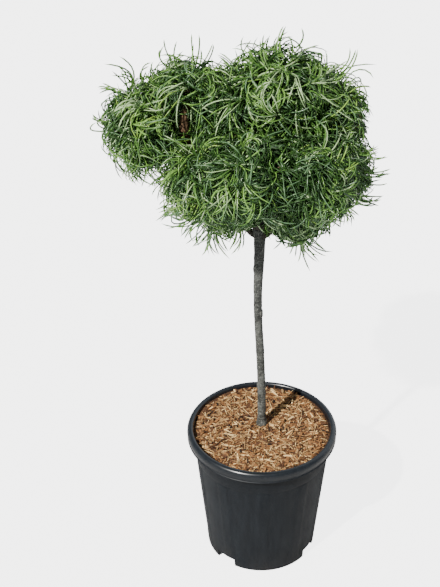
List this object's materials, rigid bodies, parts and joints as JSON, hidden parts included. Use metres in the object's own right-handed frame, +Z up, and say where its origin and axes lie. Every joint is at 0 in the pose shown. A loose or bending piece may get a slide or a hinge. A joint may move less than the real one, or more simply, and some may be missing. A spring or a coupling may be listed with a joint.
{
  "type": "potted eastern white pine",
  "caption": "Dwarf pine grafted as a small standard: a dense crown of long twisted needles on a bare stem, in a ribbed round nursery pot filled with compost and bark mulch.",
  "frame": {"origin": "centre of the pot's flat underside", "axes": "+Z up along the plant's height, -Y towards the front of the picture, +X to the viewer's right"},
  "size_m": [0.4543, 0.3944, 0.9883],
  "materials": {
    "pot_plastic": "dark charcoal, semi-matt, lightly scuffed",
    "compost": "dark, crumbly, moist",
    "mulch": "rough fibrous chips, orange-brown to tan",
    "bark": "smooth grey bark with faint rings",
    "young_bark": "brown, scaly young bark",
    "needles": "satin green needles, some grey-green and yellow-green"
  },
  "bodies": {
    "root": {"pot": "pot_plastic", "compost": "compost", "bark_mulch": "mulch", "trunk": "bark", "bough_left_tip": "young_bark", "foliage_left_tip": "needles", "bough_left_back": "young_bark", "foliage_left_back": "needles", "bough_left_front": "young_bark", "foliage_left_front": "needles", "bough_top_middle": "young_bark", "foliage_top_middle": "needles", "bough_top_right": "young_bark", "foliage_top_right": "needles", "bough_right": "young_bark", "foliage_right": "needles", "bough_right_front": "young_bark", "foliage_right_front": "needles", "bough_right_back": "young_bark", "foliage_right_back": "needles", "bough_front": "young_bark", "foliage_front": "needles", "bough_back": "young_bark", "foliage_back": "needles", "bough_low_right": "young_bark", "foliage_low_right": "needles", "bough_low_front": "young_bark", "foliage_low_front": "needles", "bough_low_left": "young_bark", "foliage_low_left": "needles", "bough_low_back": "young_bark", "foliage_low_back": "needles", "bough_left_top": "young_bark", "foliage_left_top": "needles"}
  },
  "joints": []
}
